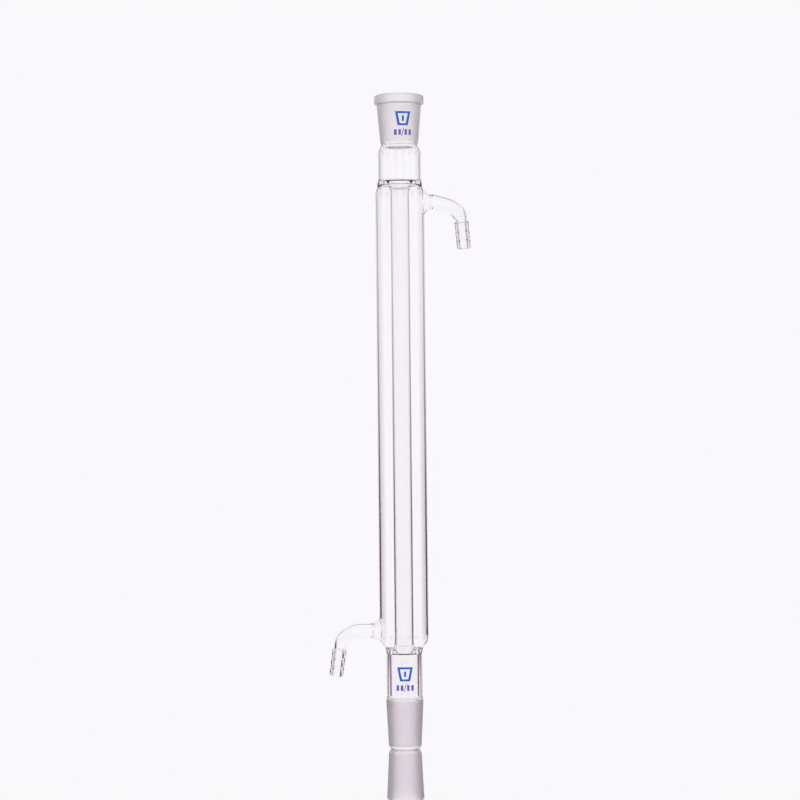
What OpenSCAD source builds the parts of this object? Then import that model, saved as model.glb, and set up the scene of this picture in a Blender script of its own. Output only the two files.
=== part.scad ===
// Liebig condenser in borosilicate glass, standing upright on its ground cone.
// Millimetres, +Z up. The origin is on the tube axis, at the lip of the cone.
// The water outlet is the upper arm, on the +X side. The water inlet is the
// lower arm, on the -X side. The fired marks face -Y.

/* [Ground joints] */
// Diameter of both joints at their wide end
joint_diameter = 24; // [14:1:45]
// Length of the ground surface
joint_length = 29; // [20:1:50]
// Diameter of the collar round the socket's mouth
collar_diameter = 32.1; // [28:0.1:60]
// Height of that collar
collar_height = 6.5; // [3:0.5:12]

/* [Tubes] */
// Outer diameter of the cooling jacket
jacket_diameter = 32; // [24:0.5:60]
// Wall of the cooling jacket
jacket_wall = 1.4; // [1:0.1:3]
// Length of the jacket between its two ring seals
jacket_length = 298; // [120:1:600]
// Outer diameter of the inner tube
inner_diameter = 12.5; // [8:0.5:20]
// Wall of the inner tube
inner_wall = 0.9; // [0.8:0.1:2]
// Outer diameter of the neck under the socket
upper_neck_diameter = 28; // [26:0.5:40]
// Wall of the neck under the socket
upper_neck_wall = 1.4; // [1:0.1:3]
// Length of the neck under the socket
upper_neck_length = 22.5; // [15:0.5:60]
// Outer diameter of the neck above the cone
lower_neck_diameter = 23; // [21:0.5:24]
// Wall of the neck above the cone
lower_neck_wall = 2; // [1:0.1:3]
// Length of the neck above the cone
lower_neck_length = 27.3; // [20:0.5:80]

/* [Water arms] */
// Outer diameter of the arms
arm_diameter = 9.6; // [7:0.1:12]
// Wall of the arms
arm_wall = 1.05; // [0.8:0.05:2]
// Drop of the outlet arm below the jacket's top
outlet_drop = 9.5; // [9.5:0.5:40]
// Rise of the inlet arm above the jacket's foot
inlet_rise = 11.5; // [11:0.5:40]
// Crest diameter of the hose nozzles
nozzle_diameter = 9.3; // [6:0.1:12]
// Bore of the hose nozzles
nozzle_bore = 5.2; // [3:0.1:7]
// Distance from one serration to the next
serration_pitch = 5.8; // [4:0.1:8]

/* [Marks] */
// Width of the taper symbol
mark_width = 10; // [4:0.5:14]
// Thickness of the fired enamel
mark_thickness = 0.1; // [0.05:0.05:0.4]
// Turn of the socket's mark away from the front
socket_mark_turn = 10.5; // [-45:0.5:45]
// Turn of the lower neck's mark away from the front
neck_mark_turn = 1.5; // [-45:0.5:45]

/* [Hidden] */
// Every joint and tube is turned, so one smoothness serves all
$fn = 96;
curve_steps = 10;

// Radii
joint_r = joint_diameter / 2;
// A standard joint narrows by 1 mm in diameter for each 10 mm of length
joint_small_r = joint_r - joint_length / 20;
collar_r = collar_diameter / 2;
jacket_r = jacket_diameter / 2;
jacket_bore_r = jacket_r - jacket_wall;
inner_r = inner_diameter / 2;
inner_bore_r = inner_r - inner_wall;
upper_neck_r = upper_neck_diameter / 2;
upper_neck_bore_r = upper_neck_r - upper_neck_wall;
lower_neck_r = lower_neck_diameter / 2;
lower_neck_bore_r = lower_neck_r - lower_neck_wall;
arm_r = arm_diameter / 2;
arm_bore_r = arm_r - arm_wall;
nozzle_bore_r = nozzle_bore / 2;

// Cone: rounded lip, a clear band, the ground length and a clear shoulder
cone_lip_r = 1.65;
cone_tip_bore_r = 8.4;
cone_clear_band = 2.3;
cone_shoulder = 2.7;
cone_ground_top = cone_clear_band + joint_length;
cone_top = cone_ground_top + cone_shoulder;

// Heights up the axis
lower_seal_z = cone_top + lower_neck_length;
lower_seal_height = 3.7;
jacket_z = lower_seal_z + lower_seal_height;
inner_z = jacket_z + 4;
jacket_top = jacket_z + jacket_length;
inner_top = jacket_top - 3;
upper_seal_height = 4.5;
upper_neck_z = jacket_top + upper_seal_height;
socket_z = upper_neck_z + upper_neck_length;
socket_foot = 3;
socket_ground_z = socket_z + socket_foot;
socket_mouth_z = socket_ground_z + joint_length;
socket_bevel = 0.5;
socket_top = socket_mouth_z + socket_bevel;
collar_z = socket_top - collar_height;

// The socket's foot is drawn in to a waist before it widens to the joint
waist_r = 11.3;
waist_bore_r = 9.6;
neck_shoulder = 4.5;
socket_foot_r = 12.35;
socket_foot_height = 2.3;
socket_wall_top_r = 14.4;
collar_edge_r = 0.8;
collar_top_edge_r = 1.3;
collar_fillet = 0.5;
socket_mouth_r = joint_r + 0.6;

// Ends of the jacket, where it is drawn in to its ring seals
jacket_foot_r = 12;
jacket_foot_bore_r = 10.6;
jacket_foot_rise = 10.5;
jacket_crown_r = 14.6;
jacket_crown_bore_r = 13;
jacket_crown_drop = 8;

// Water flares: hole in the jacket, then the side arm's own start
flare_r = 9;
flare_end_x = 21.3;
weld_r = 5.3;
weld_x = 20.4;
outlet_z = jacket_top - outlet_drop;
inlet_z = jacket_z + inlet_rise;

// Outlet arm: a slight dip, a short run and the main bend
outlet_dip_angle = 17;
outlet_dip_r = 10;
outlet_run = 7.3;
outlet_bend_angle = 68;
outlet_bend_r = 12.2;

// Inlet arm: a short run and one bend
inlet_run = 6.8;
inlet_bend_angle = 82;
inlet_bend_r = 13.8;

// Hose nozzle
serrations = 3;
nozzle_length = serrations * serration_pitch + 0.2;
crest_r = nozzle_diameter / 2;
root_r = crest_r - 0.5;
neck_r = crest_r - 0.85;
neck_length = 1.5;
funnel_length = 2.6;
nozzle_edge_r = 0.4;

// Marks: one taper symbol over a row of four blocks and a slanted stroke
mark_height = 9;
mark_taper = 0.66;
mark_line = 1.3;
axis_height = 3.6;
block_width = 1.6;
block_height = 3.6;
block_gap = 1.1;
stroke_width = 0.5;
stroke_height = 5.4;
stroke_slant = 14;
row_drop = 8.8;
socket_mark_z = 406.2;
neck_mark_z = 49;

glass = [0.9, 0.93, 0.95, 0.35];
ground_glass = [0.86, 0.84, 0.88, 0.6];
enamel = [0.12, 0.3, 0.8];

// Points along an arc or a quarter ellipse, centre c, from angle a0 to a1
function arc(c, rx, rz, a0, a1) = [
    for (i = [0:curve_steps])
        let (a = a0 + (a1 - a0) * i / curve_steps)
        [c[0] + rx * cos(a), c[1] + rz * sin(a)]
];

// Points along a soft S from p to q, upright at both ends
function ease(p, q) = [
    for (i = [0:curve_steps])
        let (t = i / curve_steps, s = (1 - cos(180 * t)) / 2)
        [p[0] + (q[0] - p[0]) * s, p[1] + (q[1] - p[1]) * t]
];

// Points along a cubic curve from a to d
function curve(a, b, c, d) = [
    for (i = [0:curve_steps])
        let (t = i / curve_steps, u = 1 - t)
        u * u * u * a + 3 * u * u * t * b + 3 * u * t * t * c + t * t * t * d
];

function reversed(list) = [for (i = [len(list) - 1:-1:0]) list[i]];

// A turned body from its half profile, each point [radius, height]
module turned(profile) {
    rotate_extrude() polygon(profile);
}

// Outside and inside of the jacket, foot to crown
function jacket_outside() = concat(
    curve([jacket_foot_r, jacket_z], [jacket_foot_r + 1.8, jacket_z + 3.6],
          [jacket_r, jacket_z + 6], [jacket_r, jacket_z + jacket_foot_rise]),
    curve([jacket_r, jacket_top - jacket_crown_drop], [jacket_r, jacket_top - 4.5],
          [jacket_r - 0.4, jacket_top - 1.5], [jacket_crown_r, jacket_top])
);
function jacket_inside() = concat(
    curve([jacket_foot_bore_r, jacket_z], [jacket_foot_bore_r + 1.7, jacket_z + 4],
          [jacket_bore_r, jacket_z + 6.6], [jacket_bore_r, jacket_z + jacket_foot_rise + 0.5]),
    curve([jacket_bore_r, jacket_top - jacket_crown_drop - 0.5], [jacket_bore_r, jacket_top - 5],
          [jacket_bore_r - 0.4, jacket_top - 1.8], [jacket_crown_bore_r, jacket_top])
);

// A straight run of arm tube along +X
module arm_run(length) {
    rotate([0, 90, 0]) linear_extrude(length) arm_section();
}

module arm_section() {
    difference() {
        circle(arm_r);
        circle(arm_bore_r);
    }
}

// A bend that leaves along +X and turns down by the angle
module arm_bend(radius, angle) {
    translate([0, 0, -radius])
        rotate([-90, -90, 0])
            rotate_extrude(angle = angle)
                translate([radius, 0]) arm_section();
}

// Places its children at the far end of a bend, heading along it
module past_bend(radius, angle) {
    translate([radius * sin(angle), 0, -radius * (1 - cos(angle))])
        rotate([0, angle, 0]) children();
}

// Height range of the arm's own axis, laid along +X from the jacket's axis
module on_outlet_axis() {
    translate([0, 0, outlet_z]) children();
}

module on_inlet_axis() {
    translate([0, 0, inlet_z]) rotate([0, 0, 180]) children();
}

// The round hole blown in the jacket for an arm
module flare_hole() {
    rotate([0, 90, 0]) cylinder(r = flare_r, h = jacket_r + 4);
}

// Outside of a flare: spreads onto the jacket, ends in the arm's weld bead
module flare_outside() {
    rotate([0, 90, 0]) turned(concat(
        [[0, 5], [flare_r + 0.6, 5]],
        curve([flare_r + 0.6, 14.4], [flare_r - 0.2, 17.3], [6.2, 18.3], [weld_r, weld_x]),
        [[arm_r, flare_end_x], [0, flare_end_x]]
    ));
}

// Inside of a flare: a trumpet that narrows to the arm's bore
module flare_inside() {
    rotate([0, 90, 0]) turned(concat(
        [[0, 3], [flare_r - 0.8, 3]],
        curve([flare_r - 0.8, 12], [flare_r - 1.6, 15.6], [4.6, 16.8], [arm_bore_r + 0.3, 19.6]),
        [[arm_bore_r, flare_end_x], [arm_bore_r, flare_end_x + 1], [0, flare_end_x + 1]]
    ));
}

// One flare on its arm's axis. The jacket's own wall runs on into it.
module flare(axis_z) {
    difference() {
        intersection() {
            union() {
                translate([0, 0, -axis_z])
                    turned(concat([[0, jacket_z]], jacket_outside(), [[0, jacket_top]]));
                flare_outside();
            }
            rotate([0, 90, 0]) cylinder(r = flare_r, h = flare_end_x + 1);
        }
        translate([0, 0, -axis_z])
            turned(concat([[0, jacket_z]], jacket_inside(), [[0, jacket_top]]));
        flare_inside();
    }
}

// A hose nozzle along +X: a drawn neck, three serrations and a rounded mouth
module hose_barb() {
    rotate([0, 90, 0]) turned(concat(
        [[arm_bore_r, 0], [arm_r, 0]],
        arc([arm_r, neck_length], arm_r - neck_r, neck_length - 0.3, -90, -180),
        [[crest_r - 0.15, neck_length + 0.35], [crest_r, neck_length + 0.9],
         [crest_r - 0.05, neck_length + 1.8]],
        [for (i = [1:serrations - 1]) each [
            [root_r + 0.05, i * serration_pitch],
            [crest_r - 0.15, i * serration_pitch + 0.35],
            [crest_r, i * serration_pitch + 0.9],
            [crest_r - 0.05, i * serration_pitch + 2]
        ]],
        [[root_r + 0.05, nozzle_length - nozzle_edge_r]],
        arc([root_r + 0.05 - nozzle_edge_r, nozzle_length - nozzle_edge_r],
            nozzle_edge_r, nozzle_edge_r, 10, 90),
        [[nozzle_bore_r, nozzle_length]],
        reversed(ease([arm_bore_r, 0.3], [nozzle_bore_r, funnel_length]))
    ));
}

// Ground cone with its rounded lip
module joint_cone() {
    color(ground_glass) turned(concat(
        [[cone_tip_bore_r, 0]],
        arc([joint_small_r - cone_lip_r, cone_lip_r], cone_lip_r, cone_lip_r, -90, 0),
        [[joint_small_r, cone_clear_band]],
        ease([joint_r, cone_ground_top], [lower_neck_r, cone_top]),
        [[lower_neck_bore_r, cone_top], [lower_neck_bore_r, cone_ground_top]]
    ));
}

// Plain tube between the cone and the lower ring seal
module lower_neck() {
    color(glass) turned([
        [lower_neck_bore_r, cone_top], [lower_neck_r, cone_top],
        [lower_neck_r, lower_seal_z], [lower_neck_bore_r, lower_seal_z]
    ]);
}

// The inner tube's foot is flared out and fused to the jacket and the neck
module lower_ring_seal() {
    color(glass) turned(concat(
        ease([lower_neck_r, lower_seal_z], [jacket_foot_r, jacket_z]),
        [[jacket_foot_bore_r, jacket_z]],
        arc([9.3, inner_z], 9.3 - inner_r, 4.4, -90, -180),
        arc([lower_neck_bore_r, inner_z], lower_neck_bore_r - inner_bore_r,
            inner_z - lower_seal_z, -180, -90)
    ));
}

// Straight vapour tube
module inner_tube() {
    color(glass) turned([
        [inner_bore_r, inner_z], [inner_r, inner_z],
        [inner_r, inner_top], [inner_bore_r, inner_top]
    ]);
}

// Cooling jacket with a hole for each arm
module jacket() {
    color(glass) difference() {
        turned(concat(jacket_outside(), reversed(jacket_inside())));
        on_outlet_axis() flare_hole();
        on_inlet_axis() flare_hole();
    }
}

module outlet_tubulation() {
    color(glass) on_outlet_axis() flare(outlet_z);
}

module inlet_tubulation() {
    color(glass) on_inlet_axis() flare(inlet_z);
}

// Outlet arm: dips, runs on, then bends down beside the jacket
module on_outlet_end() {
    on_outlet_axis()
        translate([flare_end_x, 0, 0])
            past_bend(outlet_dip_r, outlet_dip_angle)
                translate([outlet_run, 0, 0])
                    past_bend(outlet_bend_r, outlet_bend_angle) children();
}

module outlet_arm() {
    color(glass) on_outlet_axis() translate([flare_end_x, 0, 0])
        past_bend(outlet_dip_r, outlet_dip_angle) {
            rotate([0, 0, 180]) arm_bend(outlet_dip_r, outlet_dip_angle);
            arm_run(outlet_run);
            translate([outlet_run, 0, 0]) arm_bend(outlet_bend_r, outlet_bend_angle);
        }
}

module outlet_barb() {
    color(glass) on_outlet_end() hose_barb();
}

// Inlet arm: runs out, then bends down
module on_inlet_end() {
    on_inlet_axis()
        translate([flare_end_x + inlet_run, 0, 0])
            past_bend(inlet_bend_r, inlet_bend_angle) children();
}

module inlet_arm() {
    color(glass) on_inlet_axis() translate([flare_end_x, 0, 0]) {
        arm_run(inlet_run);
        translate([inlet_run, 0, 0]) arm_bend(inlet_bend_r, inlet_bend_angle);
    }
}

module inlet_barb() {
    color(glass) on_inlet_end() hose_barb();
}

// The inner tube's head is flared out flat and fused to the jacket's crown
module upper_ring_seal() {
    color(glass) turned(concat(
        [[jacket_crown_r, jacket_top], [jacket_crown_r, jacket_top + 1.2]],
        ease([jacket_crown_r - 0.05, jacket_top + 2], [upper_neck_r, upper_neck_z]),
        arc([upper_neck_bore_r - 1, upper_neck_z], 1, 1.1, 0, -90),
        arc([8.75, inner_top], 8.75 - inner_bore_r, 6.4, 90, 180),
        arc([8.9, inner_top], 8.9 - inner_r, 4.4, 180, 90),
        arc([jacket_crown_bore_r - 1.4, jacket_top], 1.4, 1.4, 90, 0)
    ));
}

// Neck under the socket, drawn in at the top to the socket's waist
module upper_neck() {
    color(glass) turned(concat(
        [[upper_neck_bore_r, upper_neck_z], [upper_neck_r, upper_neck_z]],
        ease([upper_neck_r, socket_z - neck_shoulder], [waist_r, socket_z]),
        reversed(ease([upper_neck_bore_r, socket_z - neck_shoulder - 0.6], [waist_bore_r, socket_z]))
    ));
}

// Ground socket. The grinding is on the inside, the outside is clear.
module joint_socket() {
    color(ground_glass) turned(concat(
        ease([waist_r, socket_z], [socket_foot_r, socket_z + socket_foot_height]),
        arc([socket_wall_top_r + collar_fillet, collar_z - collar_fillet],
            collar_fillet, collar_fillet, 180, 90),
        arc([collar_r - collar_edge_r, collar_z + collar_edge_r],
            collar_edge_r, collar_edge_r, -90, 0),
        arc([collar_r - collar_top_edge_r, socket_top - collar_top_edge_r],
            collar_top_edge_r, collar_top_edge_r, 0, 90),
        [[socket_mouth_r, socket_top], [joint_r, socket_mouth_z]],
        reversed(ease([waist_bore_r, socket_z], [joint_small_r, socket_ground_z]))
    ));
}

// Corners of a flat-topped taper, drawn in by the inset on every side
function taper_corners(inset) = [
    [-mark_width / 2 + inset * 1.3, mark_height / 2 - inset],
    [mark_width / 2 - inset * 1.3, mark_height / 2 - inset],
    [mark_width / 2 * mark_taper - inset, -mark_height / 2 + inset],
    [-mark_width / 2 * mark_taper + inset, -mark_height / 2 + inset]
];

// The plain sign for a conical joint: a taper in outline, with its axis
module taper_sign() {
    difference() {
        polygon(taper_corners(0));
        polygon(taper_corners(mark_line));
    }
    square([mark_line, axis_height], center = true);
}

// Two blocks each side of a slanted stroke stand in for a size
module block_row() {
    for (side = [-1, 1], step = [0, 1])
        translate([side * (2 + step * (block_width + block_gap)), 0])
            square([block_width, block_height], center = true);
    rotate(-stroke_slant) square([stroke_width, stroke_height], center = true);
}

// The whole mark, laid flat
module mark_shape() {
    taper_sign();
    translate([0, -row_drop]) block_row();
}

// Wraps the mark, at a height and turn, onto a thin skin over the glass
module fired_mark(height, turn) {
    intersection() {
        children();
        rotate([0, 0, turn])
            translate([0, 0, height])
                rotate([90, 0, 0]) linear_extrude(collar_r) mark_shape();
    }
}

// Height of a point on the socket's tapered outside, as its radius
function socket_outside_r(z) =
    socket_foot_r + (socket_wall_top_r - socket_foot_r)
    * (z - socket_z - socket_foot_height)
    / (collar_z - collar_fillet - socket_z - socket_foot_height);

module socket_mark() {
    low = socket_mark_z - row_drop - stroke_height;
    high = socket_mark_z + mark_height;
    color(enamel) fired_mark(socket_mark_z, socket_mark_turn)
        turned([
            [socket_outside_r(low), low], [socket_outside_r(low) + mark_thickness, low],
            [socket_outside_r(high) + mark_thickness, high], [socket_outside_r(high), high]
        ]);
}

module neck_mark() {
    low = neck_mark_z - row_drop - stroke_height;
    high = neck_mark_z + mark_height;
    color(enamel) fired_mark(neck_mark_z, neck_mark_turn)
        turned([
            [lower_neck_r, low], [lower_neck_r + mark_thickness, low],
            [lower_neck_r + mark_thickness, high], [lower_neck_r, high]
        ]);
}

joint_socket();
upper_neck();
upper_ring_seal();
inner_tube();
jacket();
outlet_tubulation();
outlet_arm();
outlet_barb();
inlet_tubulation();
inlet_arm();
inlet_barb();
lower_ring_seal();
lower_neck();
joint_cone();
socket_mark();
neck_mark();
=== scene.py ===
"""Looks of a Liebig condenser in clear borosilicate glass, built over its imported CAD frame.
Sizes in this script are in millimetres, and become metres where a mesh is made."""

import math

import bpy
import numpy as np
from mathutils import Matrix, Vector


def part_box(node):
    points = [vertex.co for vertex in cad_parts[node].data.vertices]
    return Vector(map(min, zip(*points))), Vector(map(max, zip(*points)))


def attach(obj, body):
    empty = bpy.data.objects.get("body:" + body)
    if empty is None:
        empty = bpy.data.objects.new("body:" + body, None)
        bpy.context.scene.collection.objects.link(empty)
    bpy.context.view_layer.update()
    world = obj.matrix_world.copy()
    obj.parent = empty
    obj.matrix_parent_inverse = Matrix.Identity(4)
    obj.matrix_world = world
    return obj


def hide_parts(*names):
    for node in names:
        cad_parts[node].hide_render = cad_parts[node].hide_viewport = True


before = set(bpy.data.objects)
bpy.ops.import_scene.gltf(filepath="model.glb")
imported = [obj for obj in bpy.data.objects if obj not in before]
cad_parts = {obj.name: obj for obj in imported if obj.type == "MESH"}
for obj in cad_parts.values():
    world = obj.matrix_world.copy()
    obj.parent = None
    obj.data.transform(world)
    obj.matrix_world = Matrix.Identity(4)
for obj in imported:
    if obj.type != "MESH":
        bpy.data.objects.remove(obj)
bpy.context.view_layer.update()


# Inner tube: a straight drawn borosilicate tube, 12.5 mm across with a 0.9 mm wall. Vapour goes
# down the middle of it. It is hung between the two ring seals and touches nothing else.
AROUND = 256
CREASE = 38


def box_mm(node):
    return [np.array(corner) * 1000 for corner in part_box(node)]


def ring(radius, height, count=AROUND):
    turn = np.linspace(0, 2 * np.pi, count, endpoint=False)
    return np.stack([radius * np.cos(turn), radius * np.sin(turn), np.full(count, height)], 1)


def turned(profile):
    """Rings round the axis, with the glass on the left of a profile of radius and height."""
    return [ring(radius, height) for radius, height in profile]


def mesh_piece(name, node, points, faces, finishes, marks):
    mesh = bpy.data.meshes.new(name)
    mesh.from_pydata((np.array(points) / 1000).tolist(), [], faces)
    for finish in finishes:
        mesh.materials.append(finish)
    mesh.polygons.foreach_set("material_index", marks)
    mesh.polygons.foreach_set("use_smooth", [True] * len(faces))
    mesh.set_sharp_from_angle(angle=math.radians(CREASE))
    piece = bpy.data.objects.new(name, mesh)
    bpy.context.scene.collection.objects.link(piece)
    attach(piece, "root")
    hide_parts(node)
    return piece


def skinned(name, node, skins, finishes):
    """A glass piece from its skins, each a run of rings with the number of its finish. Fused
    pieces share their end rings, so no skin closes the glass between them."""
    points, faces, marks = [], [], []
    for rings, finish in skins:
        first, count = len(points), len(rings[0])
        for one in rings:
            points.extend(one)
        for row in range(len(rings) - 1):
            low = first + row * count
            for j in range(count):
                k = (j + 1) % count
                faces.append((low + j, low + k, low + count + k, low + count + j))
                marks.append(finish)
    return mesh_piece(name, node, points, faces, finishes, marks)


def ramp(nodes, stops):
    """A colour ramp with its stops given as place and colour."""
    node = nodes.new("ShaderNodeValToRGB")
    scale = node.color_ramp.elements
    scale.remove(scale[0])
    scale[0].position, scale[0].color = stops[0]
    for place, colour in stops[1:]:
        scale.new(place).color = colour
    return node


def wandering(name, dark, light, grain):
    """A material whose colour wanders a little between two tones, and its shader."""
    material = bpy.data.materials.new(name)
    material.use_nodes = True
    nodes, links = material.node_tree.nodes, material.node_tree.links
    place = nodes.new("ShaderNodeTexCoord")
    noise = nodes.new("ShaderNodeTexNoise")
    noise.inputs["Scale"].default_value = grain
    tones = ramp(nodes, [(0.35, dark), (0.65, light)])
    shader = nodes["Principled BSDF"]
    links.new(place.outputs["Object"], noise.inputs["Vector"])
    links.new(noise.outputs["Fac"], tones.inputs["Fac"])
    links.new(tones.outputs["Color"], shader.inputs["Base Color"])
    return material, shader


def glass(name, dark, light, roughness, grain):
    material, shader = wandering(name, dark, light, grain)
    shader.inputs["Transmission Weight"].default_value = 1.0
    shader.inputs["IOR"].default_value = 1.474
    shader.inputs["Roughness"].default_value = roughness
    return material


clear_glass = glass("clear_glass", (0.998, 0.996, 0.997, 1), (1, 0.999, 1, 1), 0.0, 12.0)
INNER_WALL = 0.9
(_, _, inner_low), (inner_r, _, inner_high) = box_mm("inner_tube")
inner_bore = inner_r - INNER_WALL
skinned(
    "glass_inner_tube", "inner_tube",
    [
        (turned([(inner_r, inner_low), (inner_r, inner_high)]), 0),
        (turned([(inner_bore, inner_high), (inner_bore, inner_low)]), 0),
    ],
    [clear_glass],
)


# Lower ring seal: the inner tube's foot is flared out in the flame and fused to the jacket's foot
# and to the lower neck in one ring, so the neck's bore runs up into the tube like a trumpet. The
# trumpet's edge is tinted dark as painted shade, for the dark line that it shows all round.
STEPS = 14


def arc(centre, wide, tall, start, end, steps=STEPS):
    """Points of an ellipse round a centre, between two angles in degrees."""
    turn = np.radians(np.linspace(start, end, steps + 1))
    return [(centre[0] + wide * math.cos(a), centre[1] + tall * math.sin(a)) for a in turn]


def ease(start, end, steps=STEPS):
    """Points of a soft S, upright at both ends."""
    share = np.linspace(0, 1, steps + 1)
    return [
        (start[0] + (end[0] - start[0]) * (1 - math.cos(math.pi * s)) / 2,
         start[1] + (end[1] - start[1]) * s)
        for s in share
    ]


def curve(a, b, c, d, steps=STEPS):
    """Points of a cubic curve."""
    a, b, c, d = (np.array(p, float) for p in (a, b, c, d))
    return [
        tuple((1 - t) ** 3 * a + 3 * (1 - t) ** 2 * t * b + 3 * (1 - t) * t ** 2 * c + t ** 3 * d)
        for t in np.linspace(0, 1, steps + 1)
    ]


# shadow_glass is a dark tinted glass used as painted shade, on the trumpet's edge and on the
# collar's undercut.
shadow_glass = glass("shadow_glass", (0.4, 0.3, 0.36, 1), (0.5, 0.4, 0.46, 1), 0.15, 300.0)
NECK_WALL = 2.0
TROUGH_R, TROUGH_DEPTH = 9.3, 4.4
SHADE_FROM = -108
(_, _, neck_low), (neck_r, _, neck_high) = box_mm("lower_neck")
neck_bore = neck_r - NECK_WALL
(_, _, jacket_low), (jacket_r, _, jacket_high) = box_mm("jacket")
FOOT_R, FOOT_BORE = 12.0, 10.6
trumpet = (neck_bore, inner_low), neck_bore - inner_bore, inner_low - neck_high
skinned(
    "glass_lower_ring_seal", "lower_ring_seal",
    [
        (turned(ease((neck_r, neck_high), (FOOT_R, jacket_low))), 0),
        (turned([(FOOT_BORE, jacket_low)]
                + arc((TROUGH_R, inner_low), TROUGH_R - inner_r, TROUGH_DEPTH, -90, -180)), 0),
        (turned(arc(*trumpet, -180, SHADE_FROM, 12)), 0),
        (turned(arc(*trumpet, SHADE_FROM, -90, 4)), 1),
    ],
    [clear_glass, shadow_glass],
)


# Upper ring seal: the tube's head is flared out flat and fused to the jacket's crown and to the
# upper neck. The fused ring is a little proud and thick, as hand work leaves it.
CROWN_R, CROWN_BORE = 14.6, 13.0
(_, _, upper_low), (upper_r, _, upper_high) = box_mm("upper_neck")
UPPER_WALL = 1.4
FUNNEL_R, FUNNEL_HEIGHT = 8.75, 6.4
UNDER_R, UNDER_HEIGHT = 8.9, 4.4
CROWN_CORNER = 1.4
upper_bore = upper_r - UPPER_WALL
skinned(
    "glass_upper_ring_seal", "upper_ring_seal",
    [
        (turned([(CROWN_R, jacket_high), (CROWN_R, jacket_high + 1.2)]
                + ease((CROWN_R - 0.05, jacket_high + 2), (upper_r, upper_low))), 0),
        (turned(arc((upper_bore - 1, upper_low), 1, 1.1, 0, -90)
                + arc((FUNNEL_R, inner_high), FUNNEL_R - inner_bore, FUNNEL_HEIGHT, 90, 180)), 0),
        (turned(arc((UNDER_R, inner_high), UNDER_R - inner_r, UNDER_HEIGHT, 180, 90)
                + arc((CROWN_BORE - CROWN_CORNER, jacket_high), CROWN_CORNER, CROWN_CORNER,
                      90, 0)), 0),
    ],
    [clear_glass],
)


# Jacket: the wide outer tube that holds the cooling water, with its foot and crown drawn in to
# the ring seals. A round hole is blown in it for each water arm, one near the crown on the +X
# side and one near the foot on the -X side.
JACKET_WALL = 1.4
HOLE_R = 9.0
HOLE_COLUMNS = 32
HOLE_RINGS = 7
FOOT_ROWS, CROWN_ROWS, MIDDLE_ROWS = 24, 22, 39
ROW_BREAK = 6
jacket_bore = jacket_r - JACKET_WALL
outside = (
    curve((FOOT_R, jacket_low), (FOOT_R + 2, jacket_low + 2.6),
          (jacket_r, jacket_low + 4), (jacket_r, jacket_low + 8.5))
    + curve((jacket_r, jacket_high - 8), (jacket_r, jacket_high - 4.5),
            (jacket_r - 0.4, jacket_high - 1.5), (CROWN_R, jacket_high))
)
inside = (
    curve((FOOT_BORE, jacket_low), (FOOT_BORE + 2.6, jacket_low + 2.8),
          (jacket_bore, jacket_low + 4.4), (jacket_bore, jacket_low + 8.5))
    + curve((jacket_bore, jacket_high - 8.5), (jacket_bore, jacket_high - 5),
            (jacket_bore - 0.4, jacket_high - 1.8), (CROWN_BORE, jacket_high))
)


def radius_on(profile):
    """The radius of a profile as a function of height."""
    radii, heights = np.array(profile).T
    return lambda z: np.interp(z, heights, radii)


outer_at, inner_at = radius_on(outside), radius_on(inside)


def holed(radius_at, heights, holes, flip):
    """A turned skin with round holes in it, and the rim of each hole as turns and heights. Both
    skins are cut at the same turns, so the wall keeps its thickness round a hole."""
    turns = np.linspace(0, 2 * np.pi, AROUND, endpoint=False)
    flat, faces, rims = [], [], []
    for z in heights:
        flat += [(t, z) for t in turns]
    skip = set()
    for column, _, low, high in holes:
        span = range(-HOLE_COLUMNS, HOLE_COLUMNS)
        skip.update((i, (column + j) % AROUND) for i in range(low, high) for j in span)
    for i in range(len(heights) - 1):
        low_row, high_row = i * AROUND, (i + 1) * AROUND
        for j in range(AROUND):
            if (i, j) not in skip:
                k = (j + 1) % AROUND
                faces.append((low_row + j, low_row + k, high_row + k, high_row + j))
    for column, axis_z, low, high in holes:
        loop = [(low, j) for j in range(-HOLE_COLUMNS, HOLE_COLUMNS)]
        loop += [(i, HOLE_COLUMNS) for i in range(low, high)]
        loop += [(high, j) for j in range(HOLE_COLUMNS, -HOLE_COLUMNS, -1)]
        loop += [(i, -HOLE_COLUMNS) for i in range(high, low, -1)]
        middle = 2 * np.pi * column / AROUND
        edge = np.array([(2 * np.pi * j / AROUND, heights[i]) for i, j in loop])
        angle = np.arctan2(edge[:, 1] - axis_z, edge[:, 0] * jacket_r)
        rim_z = axis_z + HOLE_R * np.sin(angle)
        rim = np.stack([np.arcsin(HOLE_R * np.cos(angle) / outer_at(rim_z)), rim_z], 1)
        last = [i * AROUND + (column + j) % AROUND for i, j in loop]
        for step in range(1, HOLE_RINGS + 1):
            share = step / HOLE_RINGS
            new = edge * (1 - share) + rim * share
            first = len(flat)
            flat += [(middle + t, z) for t, z in new]
            here = list(range(first, first + len(new)))
            for j in range(len(new)):
                k = (j + 1) % len(new)
                faces.append((last[j], last[k], here[k], here[j]))
            last = here
        rims.append((angle, rim[:, 0], rim[:, 1]))
    used = sorted({v for face in faces for v in face})
    number = {v: n for n, v in enumerate(used)}
    faces = [tuple(number[v] for v in (reversed(face) if flip else face)) for face in faces]
    flat = np.array(flat)[used]
    radius = radius_at(flat[:, 1])
    points = np.stack([radius * np.cos(flat[:, 0]), radius * np.sin(flat[:, 0]), flat[:, 1]], 1)
    return points, faces, rims


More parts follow.
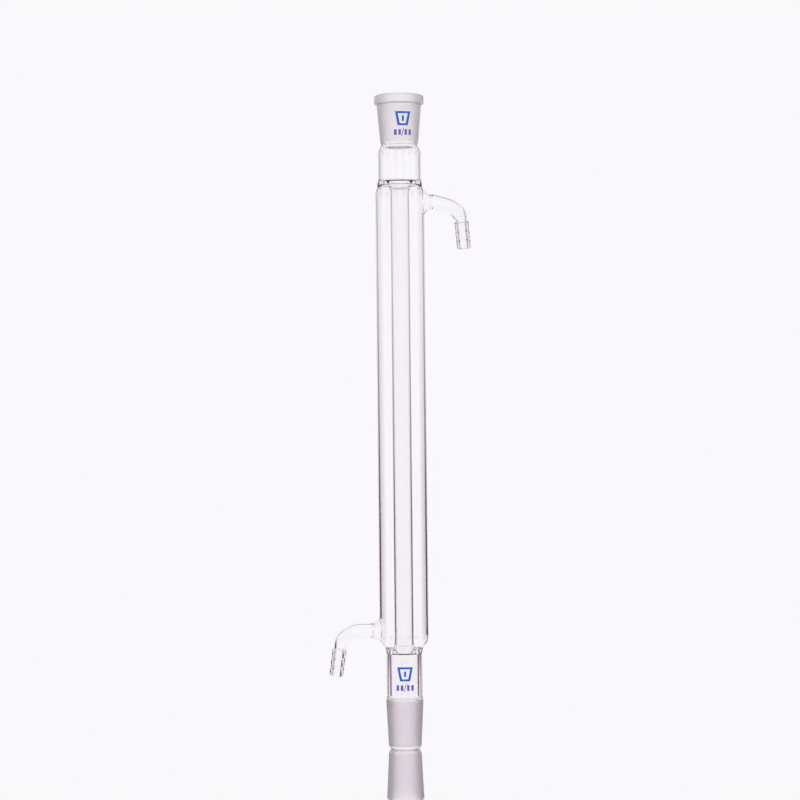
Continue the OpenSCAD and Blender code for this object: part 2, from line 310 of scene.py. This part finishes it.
flare_low, flare_high = box_mm("outlet_tubulation")
outlet_z = (flare_low[2] + flare_high[2]) / 2
root_x = flare_high[0]
flare_low, flare_high = box_mm("inlet_tubulation")
inlet_z = (flare_low[2] + flare_high[2]) / 2
rows = np.concatenate([
    np.linspace(jacket_low, jacket_low + FOOT_ROWS, FOOT_ROWS + 1),
    np.linspace(jacket_low + FOOT_ROWS + ROW_BREAK, jacket_high - CROWN_ROWS - ROW_BREAK,
                MIDDLE_ROWS + 1),
    np.linspace(jacket_high - CROWN_ROWS, jacket_high, CROWN_ROWS + 1),
])
holes = [
    (0, outlet_z, len(rows) - CROWN_ROWS, len(rows) - 1),
    (AROUND // 2, inlet_z, 0, FOOT_ROWS - 1),
]
outer_points, outer_faces, outer_rims = holed(outer_at, rows, holes, False)
inner_points, inner_faces, inner_rims = holed(inner_at, rows, holes, True)
shift = len(outer_points)
mesh_piece(
    "glass_jacket", "jacket",
    np.concatenate([outer_points, inner_points]),
    outer_faces + [tuple(v + shift for v in face) for face in inner_faces],
    [clear_glass], [0] * (len(outer_faces) + len(inner_faces)),
)


# Water flares: the glass round each hole is drawn out into a short trumpet, and the side arm is
# welded on its end. The weld stands a little proud as a bead.
ARM_R, ARM_BORE = 4.8, 3.75
FLARE_STEPS = 30
BEND, NEAR_RIM = 2.0, 0.2
DRAWN_IN = 0.4
WELD = 1.7


def flare_rings(rim, radius_at, axis_z, turn, throat, end, beads):
    """Rings from a hole's rim on the jacket out to the arm's root. The skin leaves the jacket's
    straight wall in a soft bend, and its drawn-in end in one line."""
    angle, rim_turn, rim_z = rim
    even = angle[0] + np.linspace(0, 2 * np.pi, len(angle), endpoint=False)
    spread = np.unwrap(angle)
    start_x = radius_at(rim_z) * np.cos(rim_turn)
    start_y = radius_at(rim_z) * np.sin(rim_turn)

    def inward(step):
        y, z = start_y - step * np.cos(spread), rim_z - step * np.sin(spread)
        return np.sqrt(radius_at(z) ** 2 - y ** 2), y, z

    wall_x, bend_y, bend_z = inward(BEND)
    straight_on = start_x + (inward(NEAR_RIM)[0] - start_x) * BEND / NEAR_RIM
    bend_x = wall_x + (straight_on - wall_x) * np.cos(spread) ** 2
    near_end = np.clip(np.sin(spread) * math.cos(turn), 0, 1) ** 3
    bend_x += DRAWN_IN * near_end * (throat[0] - bend_x)
    rings = []
    for share in np.linspace(0, 1, FLARE_STEPS + 1):
        a, b, c, d = ((1 - share) ** 3, 3 * (1 - share) ** 2 * share,
                      3 * (1 - share) * share ** 2, share ** 3)
        way = spread * (1 - share) + even * share
        reach = c * throat[1] + d * end[1]
        rings.append(np.stack([
            a * start_x + b * bend_x + c * throat[0] + d * end[0],
            a * start_y + b * bend_y + reach * np.cos(way),
            a * rim_z + b * bend_z + (c + d) * axis_z + reach * np.sin(way)], 1))
    for x, reach in beads:
        rings.append(np.stack([np.full(len(even), x), reach * np.cos(even),
                               axis_z + reach * np.sin(even)], 1))
    rings = [one * (math.cos(turn), math.cos(turn), 1) for one in rings]
    return rings, even


def flare_piece(name, node, number, axis_z, turn):
    """A flare on one of the jacket's holes. It gives back the angles of its last ring."""
    outer, even = flare_rings(
        outer_rims[number], outer_at, axis_z, turn, (17.3, 5.8), (root_x - WELD, 5.05),
        [(root_x - 1.35, 5.22), (root_x - 1.0, 5.2), (root_x - 0.6, 4.95), (root_x, ARM_R)])
    inner, _ = flare_rings(
        inner_rims[number], inner_at, axis_z, turn, (16.8, 4.65), (root_x - WELD, 3.92),
        [(root_x - 1.2, 3.72), (root_x - 0.6, 3.72), (root_x, ARM_BORE)])
    skinned(name, node, [(outer, 0), (inner[::-1], 0)], [clear_glass])
    return even


outlet_even = flare_piece("glass_outlet_tubulation", "outlet_tubulation", 0, outlet_z, 0.0)
inlet_even = flare_piece("glass_inlet_tubulation", "inlet_tubulation", 1, inlet_z, math.pi)


# Water arms: 9.6 mm tube bent down beside the jacket, the outlet at the top and the inlet at the
# foot. Each is softened and drawn thinner over its last few millimetres, where the nozzle joins.
NOZZLE_NECK, NOZZLE_BORE = 3.7, 2.6
DRAWN = 6.0
TURN_STEP = 2.5


def bent(axis_z, legs):
    """Stations along an arm from its root: x, z, heading down in degrees, length so far."""
    x, z, heading, length = root_x, axis_z, 0.0, 0.0
    stations = [(x, z, heading, length)]
    for kind, reach, angle in legs:
        steps = 2 if kind == "run" else max(6, int(angle / TURN_STEP))
        for _ in range(steps):
            if kind == "run":
                x += reach / steps * math.cos(math.radians(heading))
                z -= reach / steps * math.sin(math.radians(heading))
                length += reach / steps
            else:
                turn = angle / steps
                a, b = math.radians(heading), math.radians(heading + turn)
                x += reach * (math.sin(b) - math.sin(a))
                z -= reach * (math.cos(a) - math.cos(b))
                heading += turn
                length += reach * math.radians(turn)
            stations.append((x, z, heading, length))
    return stations


def arm_ring(station, radius, even, side):
    """A ring across an arm at a station, on the +X side for 1 or the -X side for -1."""
    x, z, heading = station[:3]
    lean = math.radians(heading)
    across = radius * np.cos(even)
    up = radius * np.sin(even)
    return np.stack([side * (x + up * math.sin(lean)), side * across, z + up * math.cos(lean)], 1)


def drawn_radius(station, total, full, small):
    """An arm's radius, drawn down from full to small over its last stretch."""
    share = min(1.0, max(0.0, (station[3] - total + DRAWN) / DRAWN))
    return full + (small - full) * (1 - math.cos(math.pi * share)) / 2


def arm_piece(name, node, stations, even, side):
    total = stations[-1][3]
    outer, inner = [
        [arm_ring(s, drawn_radius(s, total, full, small), even, side) for s in stations]
        for full, small in ((ARM_R, NOZZLE_NECK), (ARM_BORE, NOZZLE_BORE))
    ]
    skinned(name, node, [(outer, 0), (inner[::-1], 0)], [clear_glass])


outlet_path = bent(outlet_z, [("bend", 10.0, 17.0), ("run", 7.3, 0), ("bend", 12.2, 68.0)])
inlet_path = bent(inlet_z, [("run", 6.8, 0), ("bend", 13.8, 82.0)])
arm_piece("glass_outlet_arm", "outlet_arm", outlet_path, outlet_even, 1)
arm_piece("glass_inlet_arm", "inlet_arm", inlet_path, inlet_even, -1)


# Hose nozzles: thick tube rolled into three soft serrations that grip a rubber hose, and fire
# polished at the mouth. Each is welded to the drawn end of its arm.
PITCH = 5.8
CREST, ROOT = 4.65, 4.18
MOUTH_EDGE = 0.45


def nozzle_piece(name, node, station, even, side):
    """A nozzle turned round the way that its arm ends: outside, mouth and bore in one skin."""
    outer = [(NOZZLE_NECK, 0.0)]
    for n in range(3):
        base = NOZZLE_NECK if n == 0 else ROOT
        outer += ease((base, n * PITCH + 0.05), (CREST, n * PITCH + 0.5), 6)
        outer += [(CREST - 0.02, n * PITCH + 1.6), (CREST - 0.1, n * PITCH + 2.6),
                  (CREST - 0.25, n * PITCH + 4.0), (ROOT + 0.06, n * PITCH + 5.2)]
    length = 3 * PITCH + 0.2
    outer += arc((ROOT - MOUTH_EDGE, length - MOUTH_EDGE), MOUTH_EDGE, MOUTH_EDGE, 0, 90, 6)
    outer += [(NOZZLE_BORE + 0.3, length), (NOZZLE_BORE, length - 0.25), (NOZZLE_BORE, 0.0)]
    lean = math.radians(station[2])
    rings = []
    for radius, way in outer:
        place = (station[0] + way * math.cos(lean), station[1] - way * math.sin(lean), station[2])
        rings.append(arm_ring(place, radius, even, side))
    skinned(name, node, [(rings, 0)], [clear_glass])


nozzle_piece("glass_outlet_barb", "outlet_barb", outlet_path[-1], outlet_even, 1)
nozzle_piece("glass_inlet_barb", "inlet_barb", inlet_path[-1], inlet_even, -1)


# Upper neck: plain 28 mm tube above the upper ring seal, drawn in at its top to a waist on
# which the socket stands.
(_, _, socket_low), (collar_r, _, socket_high) = box_mm("joint_socket")
WAIST_R, WAIST_BORE = 11.3, 10.4
skinned(
    "glass_upper_neck", "upper_neck",
    [
        (turned([(upper_r, upper_low)]
                + curve((upper_r, socket_low - 7), (upper_r, socket_low - 3.5),
                        (13.2, socket_low - 1.2), (WAIST_R, socket_low))), 0),
        (turned(curve((WAIST_BORE, socket_low), (11.1, socket_low - 1.2),
                      (upper_bore, socket_low - 3.4), (upper_bore, socket_low - 7))
                + [(upper_bore, upper_low)]), 0),
    ],
    [clear_glass],
)


# Ground socket: a standard 24/29 female joint blown into a mould, with a thick collar round its
# mouth. Its inside is ground to a fine lavender frost, and the mould leaves its outside satin.
# The undercut below the collar is tinted dark as painted shade, for the dark line that it shows all
# round.
satin_glass = glass("satin_glass", (0.99, 0.975, 0.985, 1), (1, 0.99, 0.995, 1), 0.32, 900.0)
fine_ground_glass = glass(
    "fine_ground_glass", (0.985, 0.96, 0.975, 1), (1, 0.98, 0.99, 1), 0.45, 1600.0)
JOINT_R, JOINT_LENGTH = 12.0, 29.0
WALL_LOW_R, WALL_HIGH_R = 12.35, 14.4
FOOT, UNDERCUT = 2.3, 0.9
SMALL_R = JOINT_R - JOINT_LENGTH / 20
ground_low = socket_low + 2
ground_high = ground_low + JOINT_LENGTH
collar_low = socket_high - 6.5
skinned(
    "glass_joint_socket", "joint_socket",
    [
        (turned(curve((WAIST_R, socket_low), (12.0, socket_low + 0.2),
                      (12.3, socket_low + 0.9), (WALL_LOW_R, socket_low + FOOT), 8)), 0),
        (turned([(WALL_LOW_R, socket_low + FOOT), (WALL_HIGH_R, collar_low)]), 2),
        # Painted shade: the undercut's fillet takes the dark shadow_glass.
        (turned(arc((WALL_HIGH_R + UNDERCUT, collar_low), UNDERCUT, UNDERCUT, 180, 90, 6)), 3),
        (turned([(WALL_HIGH_R + UNDERCUT, collar_low + UNDERCUT)]
                + arc((collar_r - 0.6, collar_low + UNDERCUT + 0.6), 0.6, 0.6, -90, 0, 8)
                + arc((collar_r - 1.3, socket_high - 1.3), 1.3, 1.3, 0, 90, 10)
                + [(12.6, socket_high), (JOINT_R, ground_high)]), 2),
        (turned([(JOINT_R, ground_high), (SMALL_R, ground_low)]), 1),
        (turned(curve((SMALL_R, ground_low), (SMALL_R, ground_low - 0.5),
                      (WAIST_BORE - 0.2, socket_low + 0.8), (WAIST_BORE, socket_low))), 0),
    ],
    [clear_glass, fine_ground_glass, satin_glass, shadow_glass],
)


# Lower neck: heavy 23 mm tube between the lower ring seal and the cone. It carries a fired mark,
# and its glass is tinted a little greyer than the rest, as painted shade for its thick wall's grey.
# Painted shade: the neck's glass is tinted greyer than the clear glass.
neck_painted_shade_glass = glass("neck_painted_shade_glass", (0.975, 0.96, 0.974, 1), (0.985, 0.97, 0.984, 1), 0.0, 12.0)
skinned(
    "glass_lower_neck", "lower_neck",
    [
        (turned([(neck_r, neck_low), (neck_r, neck_high)]), 0),
        (turned([(neck_bore, neck_high), (neck_bore, neck_low)]), 0),
    ],
    [neck_painted_shade_glass],
)


# Ground cone: a standard 24/29 male joint. The taper is ground on the outside between a clear
# shoulder and a clear, softly chamfered lip, and the inside stays polished.
ground_glass = glass("ground_glass", (0.965, 0.885, 0.96, 1), (0.995, 0.925, 0.99, 1), 0.55, 1600.0)
ground_glass.node_tree.nodes["Principled BSDF"].distribution = "GGX"
TIP_BORE, CLEAR_BAND = 8.4, 2.3
cone_low, cone_high = box_mm("joint_cone")
cone_low, cone_high = cone_low[2], cone_high[2]
taper_low = cone_low + CLEAR_BAND
taper_high = taper_low + JOINT_LENGTH
skinned(
    "glass_joint_cone", "joint_cone",
    [
        (turned([(TIP_BORE, cone_low)]
                + curve((TIP_BORE + 0.3, cone_low), (TIP_BORE + 1.2, cone_low + 0.1),
                        (SMALL_R - 0.1, cone_low + 1.2), (SMALL_R, taper_low), 10)), 0),
        (turned([(SMALL_R, taper_low), (JOINT_R, taper_high)]), 1),
        (turned(ease((JOINT_R, taper_high), (neck_r, cone_high))), 0),
        (turned([(neck_bore, cone_high), (neck_bore, taper_high), (TIP_BORE, cone_low)]), 0),
    ],
    [clear_glass, ground_glass],
)


# Fired marks: blue ceramic enamel screened on the glass and burnt in, 0.1 mm proud. An outlined
# taper stands over two blocks, a slanted stroke and two more blocks.
def enamel(name, dark, light):
    material, shader = wandering(name, dark, light, 420.0)
    shader.inputs["Roughness"].default_value = 0.35
    return material


MARK_WIDTH, MARK_HEIGHT, MARK_TAPER, MARK_LINE = 10.0, 9.0, 0.66, 1.3
ROW_DROP = 8.8
PROUD = 0.1
FINE = 10


def taper_corners(inset):
    """Corners of the taper, or of the space inside its outline."""
    wide, tall = MARK_WIDTH / 2, MARK_HEIGHT / 2
    return [(-wide + inset * 1.3, tall - inset), (wide - inset * 1.3, tall - inset),
            (wide * MARK_TAPER - inset, -tall + inset), (-wide * MARK_TAPER + inset, -tall + inset)]


def upright(centre, wide, tall, drop=0.0, lean=0.0):
    slant = tall / 2 * math.tan(math.radians(lean))
    left, right, low, high = centre - wide / 2, centre + wide / 2, drop - tall / 2, drop + tall / 2
    return [(left - slant, low), (right - slant, low), (right + slant, high), (left + slant, high)]


def mark_piece(name, node, height, turn, radius_at, finishes):
    """Wraps the mark's patches round the glass at a height, turned from -Y by some degrees."""
    outer, inner = taper_corners(0), taper_corners(MARK_LINE)
    patches = [((inner[n], inner[(n + 1) % 4], outer[(n + 1) % 4], outer[n]), 0) for n in range(4)]
    patches.append((upright(0, MARK_LINE, 3.6), 0))
    for centre in (-4.7, -2.0, 2.0, 4.7):
        patches.append((upright(centre, 1.6, 3.6, -ROW_DROP), 1))
    patches.append((upright(0, 0.5, 5.2, -ROW_DROP, 14), 1))
    points, faces, marks = [], [], []
    for (a, b, c, d), finish in patches:
        a, b, c, d = (np.array(p) for p in (a, b, c, d))
        for proud in (PROUD, 0.02):
            for u in np.linspace(0, 1, FINE + 1):
                for v in np.linspace(0, 1, FINE + 1):
                    x, z = (a * (1 - u) + b * u) * (1 - v) + (d * (1 - u) + c * u) * v
                    radius = radius_at(height + z) + proud
                    way = math.asin(x / radius) + math.radians(turn)
                    points.append((radius * math.sin(way), -radius * math.cos(way), height + z))
        side = (FINE + 1) ** 2
        base = len(points) - 2 * side
        row = FINE + 1
        cell = [(i * row + j, (i + 1) * row + j, (i + 1) * row + j + 1, i * row + j + 1)
                for i in range(FINE) for j in range(FINE)]
        faces += [tuple(base + v for v in face) for face in cell]
        faces += [tuple(base + side + v for v in reversed(face)) for face in cell]
        edge = [i * row for i in range(FINE)] + [FINE * row + j for j in range(FINE)]
        edge += [i * row + FINE for i in range(FINE, 0, -1)] + list(range(FINE, 0, -1))
        for n, v in enumerate(edge):
            w = edge[(n + 1) % len(edge)]
            faces.append((base + side + v, base + side + w, base + w, base + v))
        marks += [finish] * (2 * len(cell) + len(edge))
    mesh_piece(name, node, points, faces, finishes, marks)


blue = enamel("blue_enamel", (0.012, 0.1, 0.7, 1), (0.03, 0.18, 0.85, 1))
pale_blue = enamel("pale_blue_enamel", (0.12, 0.12, 0.5, 1), (0.2, 0.19, 0.62, 1))
socket_wall = radius_on([(WALL_LOW_R, socket_low + FOOT), (WALL_HIGH_R, collar_low)])
SOCKET_MARK_Z, SOCKET_MARK_TURN = 406.2, 10.5
NECK_MARK_Z, NECK_MARK_TURN = 49.0, 1.5
mark_piece("mark_on_socket", "socket_mark", SOCKET_MARK_Z, SOCKET_MARK_TURN, socket_wall,
           [blue, pale_blue])
mark_piece("mark_on_neck", "neck_mark", NECK_MARK_Z, NECK_MARK_TURN, lambda z: neck_r,
           [blue, pale_blue])


# Bench: a round white top, lit as brightly as the tent behind it. Its polish mirrors the glass
# at a low angle and hardly at all from above.
WHITE = (0.956, 0.939, 0.965, 1)
BENCH_R, BENCH_GAP, BENCH_CORNERS = 260, 0.02, 96
bench_mesh = bpy.data.meshes.new("bench")
bench_mesh.from_pydata(
    (ring(BENCH_R, -BENCH_GAP, BENCH_CORNERS) / 1000).tolist(), [], [tuple(range(BENCH_CORNERS))])
bench = bpy.data.objects.new("bench", bench_mesh)
bpy.context.scene.collection.objects.link(bench)
top = bpy.data.materials.new("bench_top")
top.use_nodes = True
nodes, links = top.node_tree.nodes, top.node_tree.links
nodes.remove(nodes["Principled BSDF"])
shine = nodes.new("ShaderNodeEmission")
shine.inputs["Color"].default_value = WHITE
gloss = nodes.new("ShaderNodeBsdfGlossy")
gloss.inputs["Color"].default_value = (1, 1, 1, 1)
gloss.inputs["Roughness"].default_value = 0.03
blend = nodes.new("ShaderNodeMixShader")
grazing = nodes.new("ShaderNodeLayerWeight")
polish = ramp(nodes, [(0.6, (0, 0, 0, 1)), (0.69, (0.96, 0.96, 0.96, 1))])
links.new(grazing.outputs["Facing"], polish.inputs["Fac"])
links.new(polish.outputs["Color"], blend.inputs["Fac"])
links.new(shine.outputs["Emission"], blend.inputs[1])
links.new(gloss.outputs["BSDF"], blend.inputs[2])
links.new(blend.outputs["Shader"], nodes["Material Output"].inputs["Surface"])
bench_mesh.materials.append(top)


# Light tent: pale, with wide dark gaps between its panels and a dark ring in its roof, which draw
# the dark lines at the edges of clear glass. The gaps show behind the glass from most ways round:
# it is pale only near each eighth of a turn, and at 45 degrees off the front only from above.
world = bpy.data.worlds.new("light_tent")
bpy.context.scene.world = world
world.use_nodes = True
nodes, links = world.node_tree.nodes, world.node_tree.links


def worked(operation, *values):
    """The result of a sum on one or two outputs."""
    node = nodes.new("ShaderNodeMath")
    node.operation = operation
    for value, socket in zip(values, node.inputs):
        links.new(value, socket)
    return node.outputs["Value"]


def as_share(value, low, high):
    """Where a value stands between two limits, from 0 to 1."""
    node = nodes.new("ShaderNodeMapRange")
    node.inputs["From Min"].default_value = low
    node.inputs["From Max"].default_value = high
    links.new(value, node.inputs["Value"])
    return node.outputs["Result"]


def shaded(value, stops):
    """How dark the tent is along a value, from stops of place and darkness."""
    node = ramp(nodes, [(place, (dark, dark, dark, 1)) for place, dark in stops])
    links.new(value, node.inputs["Fac"])
    return node.outputs["Color"]


place = nodes.new("ShaderNodeTexCoord")
parts = nodes.new("ShaderNodeSeparateXYZ")
links.new(place.outputs["Generated"], parts.inputs["Vector"])
bearing = worked("ARCTAN2", parts.outputs["X"], parts.outputs["Y"])
off_axis = as_share(worked("ABSOLUTE", bearing), 0.0, math.pi)
height = as_share(parts.outputs["Z"], -1.0, 1.0)
SOFT = 0.7


def gaps(spans, heights):
    """Dark upright gaps: where they stand, in degrees off +Y, and how dark they are by height."""
    stops = [(0.0, 0)]
    for low, high in spans:
        stops += [((low - SOFT) / 180, 0), ((low + SOFT) / 180, 1),
                  ((high - SOFT) / 180, 1), ((high + SOFT) / 180, 0)]
    return worked("MULTIPLY", shaded(off_axis, stops), shaded(height, [(0.0, 0)] + heights))


sides = gaps([(23, 34.5), (55.5, 79.5)],
             [(0.27, 0), (0.3, 1), (0.485, 1), (0.51, 0.75), (0.54, 0.5), (0.58, 0.5),
              (0.6, 0.9), (0.7, 0.9), (0.73, 0)])
corners = gaps([(34.5, 55.5)],
               [(0.452, 0), (0.461, 1), (0.485, 1), (0.51, 0.75), (0.54, 0.5), (0.57, 0.5),
                (0.59, 0)])
low = gaps([(17, 23)], [(0.41, 0), (0.43, 1), (0.456, 1), (0.464, 0)])
front = gaps([(100.5, 124.5), (145.5, 169)],
             [(0.27, 0), (0.3, 1), (0.43, 1), (0.46, 0.15), (0.56, 0.15), (0.6, 0.9),
              (0.7, 0.9), (0.73, 0)])
roof = shaded(height, [(0.81, 0), (0.84, 0.7), (0.95, 0.7), (0.97, 0)])
upright_gaps = worked("ADD", worked("ADD", worked("ADD", sides, corners), low), front)
tone = ramp(nodes, [(0.0, WHITE), (1.0, (0.06, 0.004, 0.06, 1))])
links.new(worked("MAXIMUM", upright_gaps, roof), tone.inputs["Fac"])
light = nodes["Background"]
light.inputs["Strength"].default_value = 1.0
links.new(tone.outputs["Color"], light.inputs["Color"])
bpy.context.scene.view_settings.view_transform = "Standard"


# Camera: a long lens a metre and a half away, a little below the middle of the glass. It looks
# up by about a degree, and is rolled by about half a degree.
lens = bpy.data.cameras.new("camera")
lens.lens = 108.9
lens.clip_end = 100
camera = bpy.data.objects.new("camera", lens)
bpy.context.scene.collection.objects.link(camera)
camera.location = (-0.0015, -1.566, 0.1929)
camera.rotation_euler = (math.radians(91.18), math.radians(0.58), 0)
bpy.context.scene.camera = camera
